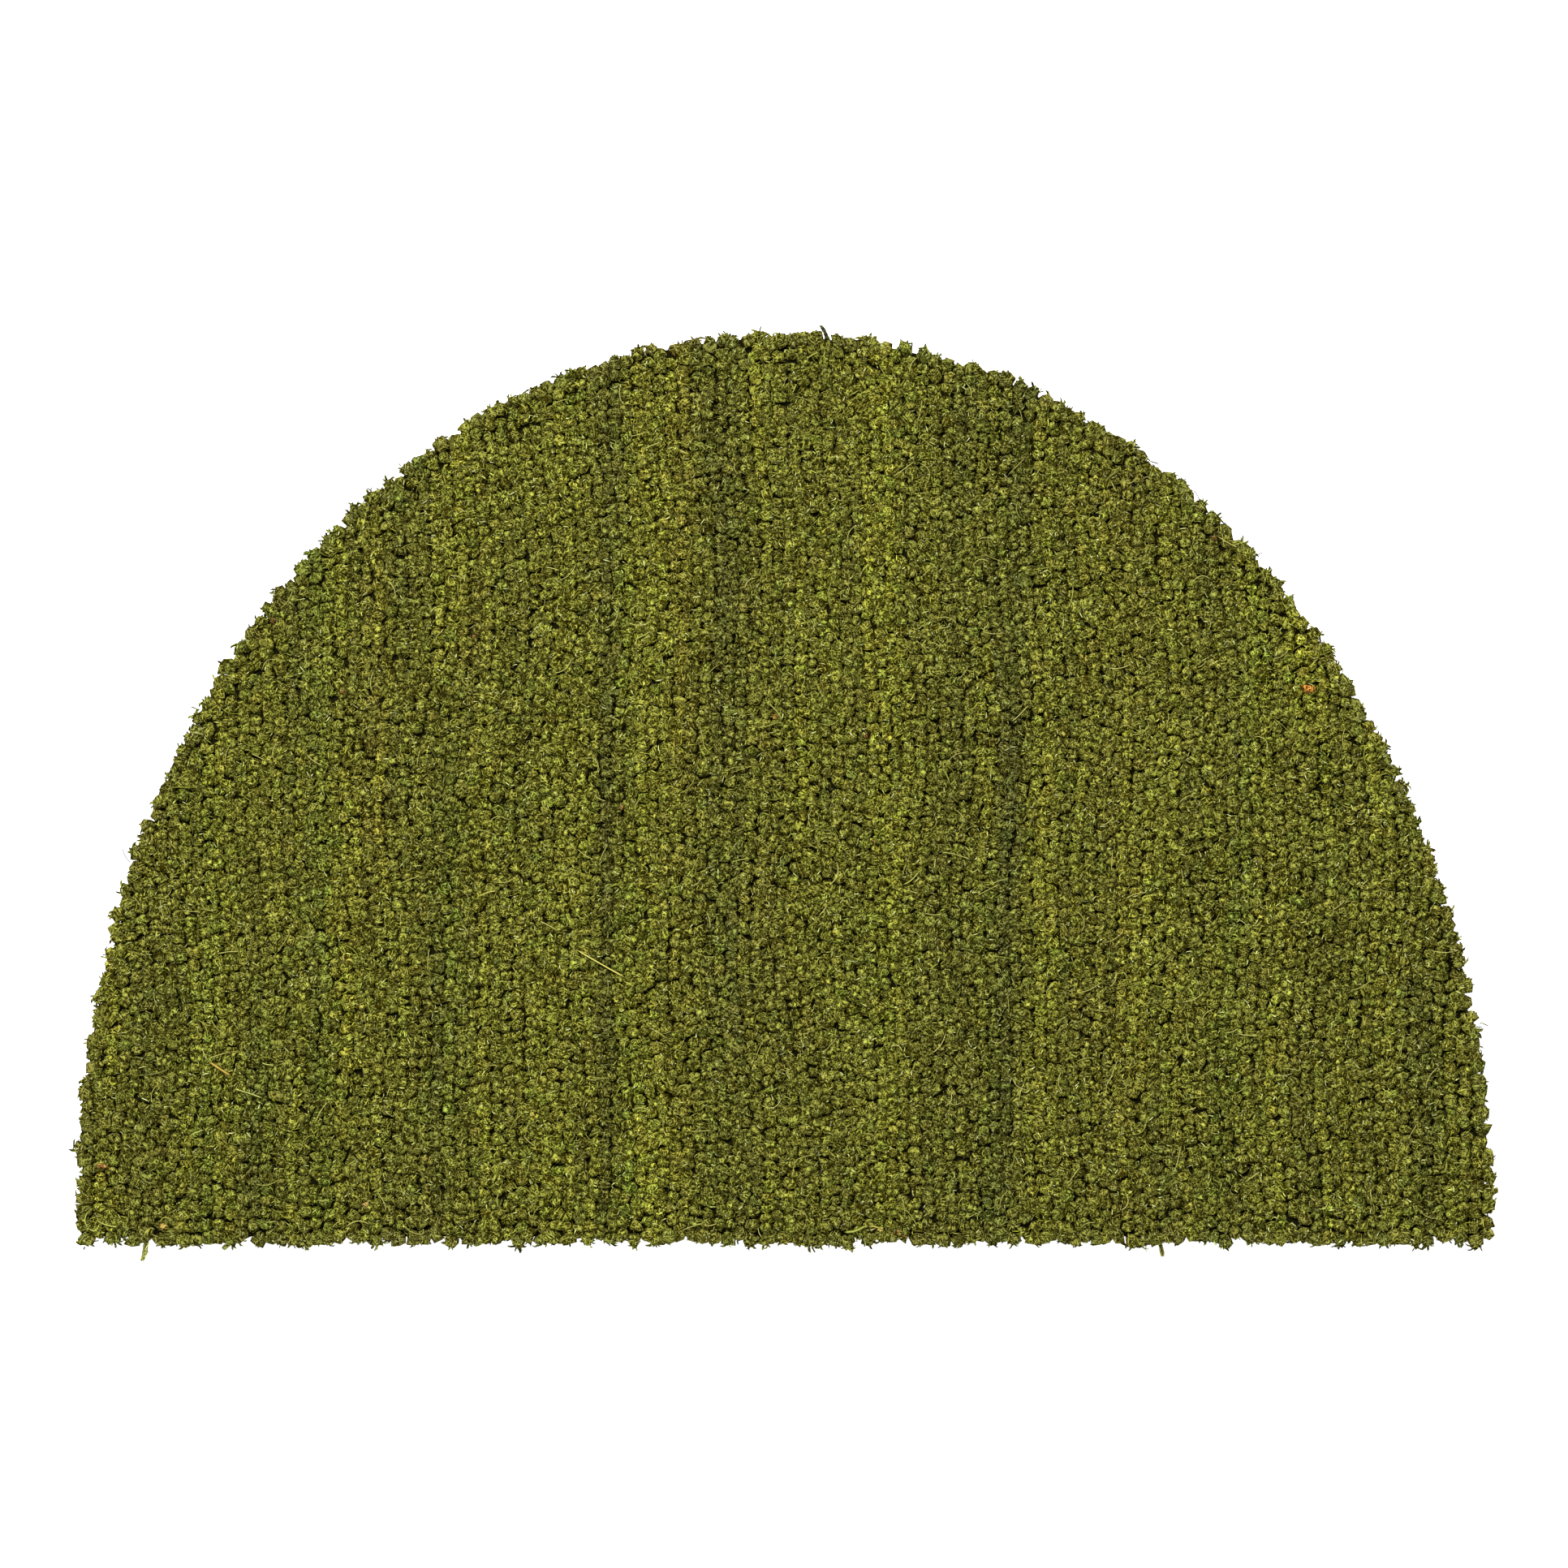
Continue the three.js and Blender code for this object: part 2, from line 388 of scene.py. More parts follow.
def depth_inside(points):
    """How far inside the outline points lie: the least of the distances to the straight edge,
    to the two sides and, to first order, to the ellipse."""
    half = MAT_WIDTH / 2
    x, y = points[:, 0], np.maximum(points[:, 1] - SPRINGING, 0)
    level = np.sqrt((x / half) ** 2 + (y / RISE) ** 2)
    slope = np.hypot(x / half**2, y / RISE**2)
    to_arc = (1 - level) * level / np.maximum(slope, 1e-9)
    to_straights = np.minimum(half - np.abs(x), points[:, 1] + MAT_DEPTH / 2)
    return np.minimum(to_arc, to_straights)


# Packed yarns press on each other. Each moves towards the middle of the room that its
# neighbours leave it, in rounds, so that they line up along the rim. A wall of points stands
# round the mat, and the outermost yarns reach halfway to it.
NEIGHBOURS = 12
LOTS = 16  # the yarns are worked through in so many lots, which saves memory
FREE_REACH = 8.0  # a yarn spreads no further than this where nothing presses on it
SETTLINGS = 3
SETTLING_ROUNDS = 5
SETTLING_DIRECTIONS = 12
SETTLING_SHARE = 0.7  # how much of the way to that middle a yarn moves in a round
GIVE_AT_EDGE = 1.2
GIVE_DEPTH = 25
GIVE_IN_FIELD = 0.22  # the field nearly keeps to its columns, and the yarns near the rim give way
WALL_OUTSIDE = 2.6
WALL_PITCH = 4.0
ROUND_THE_MAT = 2000
LAST_SHIFT = 0.4  # how far the tufts stray once they have settled


def nearest(points, others):
    """The numbers of the others that lie nearest to each point, itself among them."""
    chosen = []
    for lot in np.array_split(points, LOTS):
        far = (others**2).sum(1) - 2 * lot @ others.T
        chosen.append(np.argpartition(far, NEIGHBOURS, axis=1)[:, : NEIGHBOURS + 1])
    return np.concatenate(chosen)


def reaches(points, others, near, angles):
    """How far a yarn reaches in each direction: to the line halfway to the neighbour that
    bounds it there, which is half their distance over the cosine of the angle between. The
    yarn itself is among its neighbours, and is passed over."""
    apart = others[near] - points[:, None]
    far = (apart**2).sum(2)[:, None]
    towards = np.stack([np.cos(angles), np.sin(angles)], -1)
    facing = np.einsum("tsd,tnd->tsn", towards, apart)
    bound = far / np.maximum(2 * facing, 1e-6)
    return np.minimum(np.where(far > 0.01, bound, np.inf).min(2), FREE_REACH)


column_dyes = column_dyes[depth_inside(field) > FIELD_INSET]
field = field[depth_inside(field) > FIELD_INSET]
wall, _ = outline(-WALL_OUTSIDE, round(ROUND_THE_MAT / WALL_PITCH))
directions = np.arange(SETTLING_DIRECTIONS) * 2 * np.pi / SETTLING_DIRECTIONS
for settling in range(SETTLINGS * SETTLING_ROUNDS):
    everything = np.concatenate([field, wall])
    if settling % SETTLING_ROUNDS == 0:
        near = nearest(field, everything)
    angles = chance.uniform(0, 2 * np.pi, (len(field), 1)) + directions
    corners = reaches(field, everything, near, angles)[..., None]
    corners = corners * np.stack([np.cos(angles), np.sin(angles)], -1)
    give = np.clip(GIVE_AT_EDGE - depth_inside(field) / GIVE_DEPTH, GIVE_IN_FIELD, 1)[:, None]
    field = field + SETTLING_SHARE * give * corners.mean(1)
field = field + chance.normal(0, LAST_SHIFT, field.shape)

# The way out of the mat is the way in which the depth falls fastest.
depth = depth_inside(field)
step = 0.01
slope = [depth_inside(field + [step, 0]) - depth, depth_inside(field + [0, step]) - depth]
outward = -np.stack(slope, 1) / step
on_rim = depth < RIM_DEPTH

# The mat was cut by hand: its sides lie to the right near the straight edge and to the left
# further up, and its crown is a little flat.
CUT_LOWER = 0.7
CUT_UPPER = -1.4
CUT_CHANGES_BELOW = 60  # the sides change over from upper to lower from here down
CUT_CHANGE = 200
CUT_CROWN = -1.4
CROWN_WIDTH = 0.45  # as a share of the mat's half width


def as_cut(points):
    """Points moved with the uneven cut: sideways by the square of their distance from the
    middle, fading out up the sides, and at the crown in a bell along the arc."""
    across = points[:, 0] / (MAT_WIDTH / 2)
    lower = np.clip((CUT_CHANGES_BELOW - points[:, 1]) / CUT_CHANGE, 0, 1)
    sideways = (CUT_LOWER * lower + CUT_UPPER * (1 - lower)) * across**2
    up = np.clip(points[:, 1] / (MAT_DEPTH / 2), 0, 1)
    upwards = CUT_CROWN * np.exp(-((across / CROWN_WIDTH) ** 2)) * up**2
    return points + np.stack([sideways, upwards], 1)


# Each tuft is a bud that fills the room between its neighbours.
BUD_SIDES = 7
WIDEST_BUD = 4.2

field, wall = as_cut(field), as_cut(wall)
everything = np.concatenate([field, wall])
near = nearest(field, everything)
angles = chance.uniform(0, 2 * np.pi, (len(field), 1))
angles = angles + np.linspace(0, 2 * np.pi, BUD_SIDES, endpoint=False)
bud_reaches = np.minimum(reaches(field, everything, near, angles), WIDEST_BUD)


# Tints of the dye: long soft streaks along the columns. Each row gives a streak's middle at its
# upper and lower end, both ends along Y, its width, how much lighter it is, and how much greener.
STREAKS = [
    # x above, x below, y from, y to, width, lighter, greener
    (-86, -88, -225, 215, 9, -0.17, 0.0),
    (-33, -22, -225, 225, 20, -0.11, 0.0),
    (-33, -33, 60, 200, 9, -0.06, 0.0),
    (118, 107, -225, 225, 11, -0.21, 0.02),
    (84, 84, -225, 200, 26, -0.07, 0.0),
    (-172, -172, -225, 50, 9, -0.12, 0.0),
    (-315, -315, -225, -84, 9, -0.12, 0.0),
    (-263, -263, -212, -24, 8, -0.08, 0.0),
    (318, 318, -225, -92, 12, -0.12, 0.03),
    (-186, -186, 80, 160, 14, -0.10, 0.0),
    (-238, -238, 28, 100, 9, -0.10, 0.0),
    (210, 210, -225, 128, 8, -0.07, 0.0),
    (51, 51, -225, 225, 15, 0.13, 0.01),
    (-60, -64, -225, 225, 18, 0.10, 0.0),
    (-213, -213, -140, 15, 15, 0.12, -0.02),
    (-222, -214, -225, 120, 12, 0.05, 0.0),
    (-111, -111, -225, 190, 16, 0.09, 0.0),
    (-146, -146, -225, 160, 9, 0.06, 0.0),
    (-160, -160, 80, 190, 14, 0.09, 0.0),
    (-279, -279, -225, 60, 10, 0.08, 0.0),
    (-331, -334, -150, -60, 10, 0.16, 0.0),
    (-338, -338, -225, -190, 12, 0.16, 0.0),
    (130, 130, -225, 190, 9, 0.08, 0.0),
    (184, 184, -152, 40, 12, 0.08, 0.0),
    (239, 237, -200, 100, 10, 0.07, 0.0),
    (252, 262, 30, 150, 18, 0.18, 0.0),
    (-229, -229, -225, 130, 10, 0.0, 0.07),
    (-283, -286, -225, 10, 10, 0.0, 0.06),
    (-258, -258, -225, -100, 9, 0.0, 0.06),
    (-165, -165, -190, 20, 10, 0.0, 0.07),
    (-78, -78, -225, 130, 9, 0.0, 0.06),
    (-32, -32, -225, -20, 9, 0.0, 0.04),
    (38, 38, -150, -50, 18, 0.0, 0.04),
    (100, 104, -225, -40, 9, 0.0, 0.06),
    (238, 214, -225, 128, 11, 0.0, 0.06),
    (267, 267, -80, 20, 9, 0.0, 0.04),
    (-50, -50, 0, 225, 9, 0.0, -0.09),
    (-50, -50, -225, 0, 9, 0.0, -0.03),
    (-202, -202, -60, 110, 10, 0.0, -0.08),
    (-153, -153, 60, 110, 9, 0.0, -0.08),
    (166, 166, -225, 170, 22, 0.0, -0.04),
    (-10, -10, -150, -20, 22, 0.0, -0.03),
]
STREAK_BELL = 0.6  # the bell across a streak falls to a third at so much of its width
STREAK_FADE = 25


def streaks_at(points):
    """How much lighter and greener the dye is at points: the sum of the streaks, each a bell
    across the columns that fades away over a short stretch round its ends."""
    lighter, greener = np.zeros(len(points)), np.zeros(len(points))
    for above, below, low, high, width, light, green in STREAKS:
        along = (points[:, 1] - low) / (high - low)
        middle = below + (above - below) * np.clip(along, 0, 1)
        across = np.exp(-(((points[:, 0] - middle) / (STREAK_BELL * width)) ** 2))
        from_end = np.minimum(points[:, 1] - low, high - points[:, 1])
        inside = np.clip(from_end / STREAK_FADE + 0.5, 0, 1)
        lighter += light * across * inside
        greener += green * across * inside
    return lighter, greener


# The colours of the yarns. The dye takes unevenly on brown coconut fibre: most is moss green,
# and some fibres stay straw.
MOSS = "#84881f"
LEAF = "#708a1b"
OCHRE = "#8a8020"
STRAW = "#bfc48c"
SHADE_SPREAD = 0.05  # how much neighbouring yarns differ in lightness
LEAN_GAIN = 5
LEAN_MEAN = -0.06  # most yarns lean a little to ochre
LEAN_SPREAD = 0.18
STREAK_GAIN = 2.2  # the table gives what shows once the fibres blur; the dye differs by more


def dyed(points, differences):
    """The linear colour of a yarn at each point: moss, made lighter or darker and turned
    towards leaf or ochre by the streaks and by chance. The differences make it lighter too."""
    lighter, greener = streaks_at(points)
    spread = chance.normal(0, SHADE_SPREAD, len(points))
    lightness = np.exp(STREAK_GAIN * lighter + differences + spread)
    by_chance = chance.normal(LEAN_MEAN, LEAN_SPREAD, len(points))
    lean = np.clip(greener * LEAN_GAIN + by_chance, -1, 1)[:, None]
    colours = linear(MOSS) + np.clip(lean, 0, 1) * (linear(LEAF) - linear(MOSS))
    colours = colours + np.clip(-lean, 0, 1) * (linear(OCHRE) - linear(MOSS))
    return colours * lightness[:, None]


BUD_REACH = (0.98, 0.16)  # a share of the room between the neighbours: mean and spread
BUD_UNEVEN = 0.45  # how far a bud's corners stray up and down
BUD_MOTTLE = 0.1  # how much the corners differ in shade
STRAW_AND_SHEEN = 0.13  # pale straw that grows with the square of the painted shade: a painted sheen on the lit tips, and straw where the dye has worn thin
BROWNER_BELOW = 0.25  # the dye hasn't reached far into the yarns, so their shaded parts are redder
ARC_BEND = 0.12  # how much the arcs in which a bud's fibres lie are bent
OWN_STROKES = 900  # each bud and fibre takes its strokes from its own place, at most so far off


def buds(tufts, profile):
    """Closed buds, one for each tuft. The profile gives for each ring its depth under the top,
    its radius as a share of the tuft's, and its painted shade, darker lower down where the
    neighbours shade it. A bud is the profile turned round its axis, as wide in each direction
    as its neighbours leave it, each corner moved a little by chance and the whole sheared by
    its lean."""
    depth, share, shade = np.array(profile).T
    count, sides, rings = len(tufts.centres), tufts.angles.shape[1], len(profile) - 2
    angle = np.repeat(tufts.angles[:, None], rings, 1)
    reach = tufts.reaches[:, None] * share[1:-1, None] * chance.normal(*BUD_REACH, angle.shape)
    corners = np.stack([reach * np.cos(angle), reach * np.sin(angle)], -1)
    uneven = chance.normal(0, BUD_UNEVEN, angle.shape)
    z = tufts.tops[:, None, None] - depth[1:-1, None] + uneven
    poles = np.zeros((count, 2, 3))
    poles[:, :, 2] = tufts.tops[:, None] - depth[[0, -1]]
    around = np.concatenate([corners, z[..., None]], -1).reshape(count, -1, 3)
    points = np.concatenate([around, poles], 1)
    sheared = (points[..., 2] - BED_FOOT) / (tufts.tops[:, None] - BED_FOOT)
    points[..., :2] += tufts.centres[:, None] + tufts.leans[:, None] * sheared[..., None]
    first = np.arange(sides)
    triangles = np.concatenate(
        [
            grid_triangles(rings, sides),
            fan_triangles(first, rings * sides, False),
            fan_triangles(first + (rings - 1) * sides, rings * sides + 1, True),
        ]
    )
    # Painted shade: each ring's colour is darkened by its shade from the profile, most at the foot.
    tone_and_shade = np.concatenate([np.repeat(shade[1:-1], sides), shade[[0, -1]]])
    painted_ring_shades = tone_and_shade[:, None] * [1, 1, 1] + (tone_and_shade * (1 - tone_and_shade))[:, None] * [BROWNER_BELOW, 0, 0]
    tinted = tufts.dyes[:, None] * painted_ring_shades + STRAW_AND_SHEEN * linear(STRAW) * tone_and_shade[:, None] ** 2
    tinted = tinted * chance.normal(1, BUD_MOTTLE, points.shape[:2])[..., None]

    # The fibres lie in parallel arcs over each bud, parabolas turned by chance.
    aim = chance.uniform(0, 2 * np.pi, count)[:, None]
    plan = points[..., :2] - (tufts.centres + tufts.leans)[:, None]
    across = plan[..., 0] * np.cos(aim) + plan[..., 1] * np.sin(aim)
    along = plan[..., 1] * np.cos(aim) - plan[..., 0] * np.sin(aim)
    across = across + chance.normal(0, ARC_BEND, (count, 1)) * along**2
    which = np.broadcast_to(chance.uniform(0, OWN_STROKES, (count, 1)), across.shape)
    runs = np.stack([across, along, which], -1).reshape(-1, 3)
    offsets = np.arange(count)[:, None, None] * points.shape[1]
    triangles = (triangles + offsets).reshape(-1, 3)
    return points.reshape(-1, 3), triangles, tinted.reshape(-1, 3), runs


NEARLY_UP = [0.1, 0.05, 1.0]  # no path runs just this way, so each has a side square to it
FLAT = 0.8  # the height of a fibre's ridge, as a share of half its width
STEP_RUN = 1.2  # how far a path's strokes go on at each step


def fibres(paths, widths, heights, colours, shades):
    """Closed fibres or locks with pointed ends, one along each path of points. The section is
    a low triangle: a corner at each side of the path and a ridge over it. The widths are half
    the section's. The shades lighten or darken each step of the path."""
    count, steps = paths.shape[:2]
    ahead = np.gradient(paths, axis=1)
    ahead /= np.linalg.norm(ahead, axis=2, keepdims=True)
    side = np.cross(ahead, NEARLY_UP)
    side /= np.linalg.norm(side, axis=2, keepdims=True)
    above = np.cross(side, ahead)
    across, up = np.array([1, -1, 0]), np.array([-0.4, -0.4, 1])  # of the section's corners
    reach = widths[:, None, None] * across
    rise = heights[:, None, None] * up
    rings = paths[:, 1:-1, None] + reach[..., None] * side[:, 1:-1, None]
    rings = rings + rise[..., None] * above[:, 1:-1, None]
    points = np.concatenate([rings.reshape(count, -1, 3), paths[:, [0, -1]]], 1)
    corners, tips = len(up), (steps - 2) * len(up)
    first = np.arange(corners)
    triangles = np.concatenate(
        [
            grid_triangles(steps - 2, corners),
            fan_triangles(first, tips, False),
            fan_triangles(first + (steps - 3) * corners, tips + 1, True),
        ]
    )
    offsets = np.arange(count)[:, None, None] * points.shape[1]
    triangles = (triangles + offsets).reshape(-1, 3)
    step_of = np.append(np.repeat(np.arange(1, steps - 1), corners), [0, steps - 1])
    tinted = colours[:, None] * shades[:, step_of, None]
    place = np.append(np.tile(across, steps - 2), [0, 0]) * widths[:, None]
    gone = np.arange(steps) * STEP_RUN
    which = np.broadcast_to(chance.uniform(0, OWN_STROKES, (count, 1)), place.shape)
    runs = np.stack([place, np.broadcast_to(gone[step_of], place.shape), which], -1)
    return points.reshape(-1, 3), triangles, tinted.reshape(-1, 3), runs.reshape(-1, 3)


# Where two numbers stand for a curl or a lock, they are the mean and the spread of what falls
# in a bell, or the least and the most of what falls evenly. Turns are in radians.
CURL_STATIONS = np.array([0, 0.25, 0.75, 1])  # where the corners stand along a curl
CURL_HEADING = (1.1, 0.9)  # bell: its turn away from straight outwards
CURL_BEND = (0.3, 0.35)  # bell: its further turn in each millimetre
CURL_WIDTH = (0.2, 0.38)  # even
CURL_RISE = 0.25
DOME_FALL = 0.9  # how far the dome falls at the tuft's radius
DOME_EDGE = 1.5  # the dome falls no further from so many radii on
CURL_TINT = (0.08, 0.4)  # bell
DARK_GAP_SHARE = 0.27  # so many curls are painted far darker, as painted shade for the dark gaps between fibres
DARKER = 1.5
REDDER_DARKS = [0.96, 1, 1]  # red changes least with the tint, so dark curls are browner
STRAW_BY_TINT = 0.8
STRAW_BY_CHANCE = (0.06, 0.2)  # bell
MOST_STRAW = 0.85
CURL_MOTTLE = 0.12


def curls(tufts, owner, start, length, lift):
    """Curled fibres that lie over the buds. Each starts at a share of its tuft's radius from
    the middle, heads outwards and sideways and turns steadily in plan, mostly the way round
    that the yarn is twisted. It follows a dome that falls with the cube of the distance, and
    rises from it in mid length by the lift. The start and the length are a least and a most."""
    count, size = len(owner), tufts.sizes[owner]
    start_angle = chance.uniform(0, 2 * np.pi, count)
    start = size * chance.uniform(*start, count)
    heading = start_angle + chance.normal(*CURL_HEADING, count)
    curve = chance.normal(*CURL_BEND, count)
    length = chance.uniform(*length, count)
    turned = heading[:, None] + curve[:, None] * length[:, None] * CURL_STATIONS[:-1]
    legs = length[:, None] * np.diff(CURL_STATIONS)
    plan = np.zeros((count, len(CURL_STATIONS), 2))
    plan[:, 1:] = np.cumsum(np.stack([np.cos(turned), np.sin(turned)], -1) * legs[..., None], 1)
    plan += (start[:, None] * np.stack([np.cos(start_angle), np.sin(start_angle)], 1))[:, None]
    out = np.hypot(*np.moveaxis(plan, 2, 0)) / size[:, None]
    arch = lift * np.sin(np.pi * CURL_STATIONS) + chance.normal(0, CURL_RISE, (count, 1))
    z = tufts.tops[owner, None] - DOME_FALL * np.minimum(out, DOME_EDGE) ** 3 + arch
    paths = np.concatenate([plan + (tufts.centres + tufts.leans)[owner, None], z[..., None]], 2)
    tone_and_shade = chance.normal(*CURL_TINT, count)
    # Painted shade: some curls are made nearly black to stand for dark gaps between the fibres.
    tone_and_shade = tone_and_shade - DARKER * (chance.uniform(0, 1, count) < DARK_GAP_SHARE)
    straw = STRAW_BY_TINT * tone_and_shade + chance.normal(*STRAW_BY_CHANCE, count)
    straw = np.clip(straw, 0, MOST_STRAW)[:, None]
    dyes = tufts.dyes[owner] * np.exp(tone_and_shade[:, None] * REDDER_DARKS)
    dyes = dyes * (1 - straw) + straw * linear(STRAW)
    shades = chance.normal(1, CURL_MOTTLE, (count, len(CURL_STATIONS)))
    widths = chance.uniform(*CURL_WIDTH, count)
    return fibres(paths, widths, FLAT * widths, dyes, shades)


LOCK_TURN = 0.7
LOCK_START = (0.4, 1.9)  # even: from the middle of the tuft's top
LOCK_LENGTH = (1.6, 4.7)  # even
LOCK_BEND = 0.25
LOCK_DEPTH = (0.3, 6)  # even: below the tuft's top
LOCK_TINT = (-0.35, 0.35)  # bell
LOCK_WIDTH = (0.3, 0.65)  # even


def locks(tufts, owner):
    """Pointed locks that stick out of the rim. Each heads the way its tuft leans, give or take
    half a right angle, and droops by up to its own length."""
    count = len(owner)
    heading = np.arctan2(tufts.leans[owner, 1], tufts.leans[owner, 0])
    heading = heading + chance.normal(0, LOCK_TURN, count)
    start, length = chance.uniform(*LOCK_START, count), chance.uniform(*LOCK_LENGTH, count)
    reach = start[:, None] + length[:, None] * CURL_STATIONS
    turned = heading[:, None] + chance.normal(0, LOCK_BEND, (count, 1)) * reach
    plan = reach[..., None] * np.stack([np.cos(turned), np.sin(turned)], -1)
    droop = chance.uniform(0, 1, (count, 1)) * length[:, None] * CURL_STATIONS
    z = tufts.tops[owner, None] - chance.uniform(*LOCK_DEPTH, (count, 1)) - droop
    paths = np.concatenate([plan + (tufts.centres + tufts.leans)[owner, None], z[..., None]], 2)
    dyes = tufts.dyes[owner] * np.exp(chance.normal(*LOCK_TINT, count))[:, None]
    widths = chance.uniform(*LOCK_WIDTH, count)
    return fibres(paths, widths, FLAT * widths, dyes, np.ones((count, len(CURL_STATIONS))))


def joined(parts):
    """One mesh of several: their points, triangles, colours and runs in a row."""
    points, triangles, colours, runs = zip(*parts)
    starts = np.cumsum([0] + [len(group) for group in points[:-1]])
    triangles = [group + start for group, start in zip(triangles, starts)]
    return [np.concatenate(groups) for groups in (points, triangles, colours, runs)]


# The tops follow the mat's slow swell, and the rim's yarns lean the more the further out.
SWELL_HEIGHT = 0.5
SWELL_LENGTH = 95
RIM_LEAN = 1.9
RIM_LEAN_DEPTH = 15
LEAN_UNEVEN = 0.35
TOP_UNEVEN = 0.35
TUFT_RADIUS = (2.5, 0.3)  # mean and spread
RADIUS_LIMITS = (1.9, 3.2)
RIM_DARKER = 0.17  # painted shade on the rim's yarns, whose sides are shaded, and on the crown's the most
CROWN_DARKER = 0.6
CROWN_FROM_MIDDLE = 200


def mean_top(x, y):
    """The height of the tufts' tops without their own differences: a slow swell, the product
    of a sine along X and a cosine along Y."""
    return PILE_TOP + SWELL_HEIGHT * np.sin(x / SWELL_LENGTH) * np.cos(y / SWELL_LENGTH)


leans = outward * RIM_LEAN * np.clip(1 - depth / RIM_LEAN_DEPTH, 0, 1)[:, None]
leans = leans + chance.normal(0, LEAN_UNEVEN, field.shape) * (1 + on_rim)[:, None]
tops = mean_top(*field.T) + chance.normal(0, TOP_UNEVEN, len(field))
sizes = np.clip(chance.normal(*TUFT_RADIUS, len(field)), *RADIUS_LIMITS)
# Painted shade on the rim: its yarns are darkened, those of the crown the most.
crown = np.clip(field[:, 1] / CROWN_FROM_MIDDLE, 0, 1)
rim_painted_shade = RIM_DARKER * on_rim * (1 + CROWN_DARKER * crown)
tufts = SimpleNamespace(
    centres=field,
    leans=leans,
    tops=tops,
    sizes=sizes,
    dyes=dyed(field, column_dyes - rim_painted_shade),
    angles=angles,
    reaches=bud_reaches,
)

# Each cut yarn has burst into two knots of fibres, one to each side of its middle.
KNOTS = 2
KNOT_SIDES = 6
KNOT_TURN = 0.4
KNOT_FROM_MIDDLE = (0.7, 1.8)  # least and most
KNOT_RADIUS = (1.1, 1.9)  # least and most
KNOT_RAGGED = 0.12
KNOT_UNEVEN = 0.3
KNOT_MOTTLE = 0.08

knot_of = np.repeat(np.arange(len(field)), KNOTS)
knot_turns = chance.uniform(0, 2 * np.pi, (len(field), 1)) + np.arange(KNOTS) * 2 * np.pi / KNOTS
knot_turns = knot_turns.ravel() + chance.normal(0, KNOT_TURN, len(knot_of))
knot_spots = chance.uniform(*KNOT_FROM_MIDDLE, (len(knot_of), 1))
knot_spots = knot_spots * np.stack([np.cos(knot_turns), np.sin(knot_turns)], 1)
knot_angles = chance.uniform(0, 2 * np.pi, (len(knot_of), 1))
knot_angles = knot_angles + np.arange(KNOT_SIDES) * 2 * np.pi / KNOT_SIDES
knot_tops = tops[knot_of] + chance.normal(0, KNOT_UNEVEN, len(knot_of))
knot_dyes = tufts.dyes[knot_of] * np.exp(chance.normal(0, KNOT_MOTTLE, (len(knot_of), 1)))
knot_reaches = chance.uniform(*KNOT_RADIUS, (len(knot_of), 1))
knots = SimpleNamespace(
    centres=field[knot_of] + knot_spots,
    leans=leans[knot_of],
    tops=knot_tops,
    dyes=knot_dyes,
    angles=knot_angles,
    reaches=knot_reaches * chance.normal(1, KNOT_RAGGED, knot_angles.shape),
)

# Coconut fibre, spun, dyed and cut: stiff, matt and slightly waxy. The eye gets fine curved
# strokes half a millimetre apart, with a painted highlight paled with straw where a fibre lies on
# top, and painted shade between.
STROKE_WIDTH = 0.5  # from one stroke to the next, across
STROKE_LENGTH = 3.5
STROKES_CROSS = 1.2  # the turn between two layers of strokes, in radians
SHADE_BETWEEN = (0.13, 0.1, 0.05)  # so much of the dye's red, green and blue shows in the painted shade between the strokes
LIT_ON_TOP = 1.46
STRAW_SHEEN_ON_TOP = 0.07
STROKE_HEIGHT = 0.4

dyed_fibre = surface_material("dyed coconut fibre")
dye = add_node(dyed_fibre, "ShaderNodeAttribute", attribute_name="dye")
run = add_node(dyed_fibre, "ShaderNodeAttribute", attribute_name="run")


def strokes(turn):
    """Noise drawn out along the fibres' run, which is turned first."""
    place = add_node(
        dyed_fibre,
        "ShaderNodeMapping",
        [("Vector", run.outputs["Vector"])],
        vector_type="TEXTURE",
        Rotation=(0, 0, turn),
        Scale=(STROKE_WIDTH, STROKE_LENGTH, 1),
    )
    return add_node(
        dyed_fibre, "ShaderNodeTexNoise", [("Vector", place.outputs[0])], Scale=1.0, Detail=0.0
    )


over = add_node(
    dyed_fibre,
    "ShaderNodeMath",
    [(0, strokes(0).outputs[0]), (1, strokes(STROKES_CROSS).outputs[0])],
    operation="MAXIMUM",
)
stroke = add_node(
    dyed_fibre,
    "ShaderNodeMapRange",
    [("Value", over.outputs[0])],
    From_Min=0.5,
    From_Max=0.68,
)
shade_between = add_node(
    dyed_fibre, "ShaderNodeVectorMath", [(0, dye.outputs["Color"])], operation="MULTIPLY"
)
shade_between.inputs[1].default_value = SHADE_BETWEEN
# Painted highlight: the strokes on top are made lighter, and paler with straw, as lit fibres.
lit_on_top = add_node(
    dyed_fibre, "ShaderNodeVectorMath", [(0, dye.outputs["Color"])], operation="SCALE", Scale=LIT_ON_TOP
)
paler = add_node(dyed_fibre, "ShaderNodeVectorMath", [(0, lit_on_top.outputs[0])], operation="ADD")
paler.inputs[1].default_value = linear(STRAW) * STRAW_SHEEN_ON_TOP
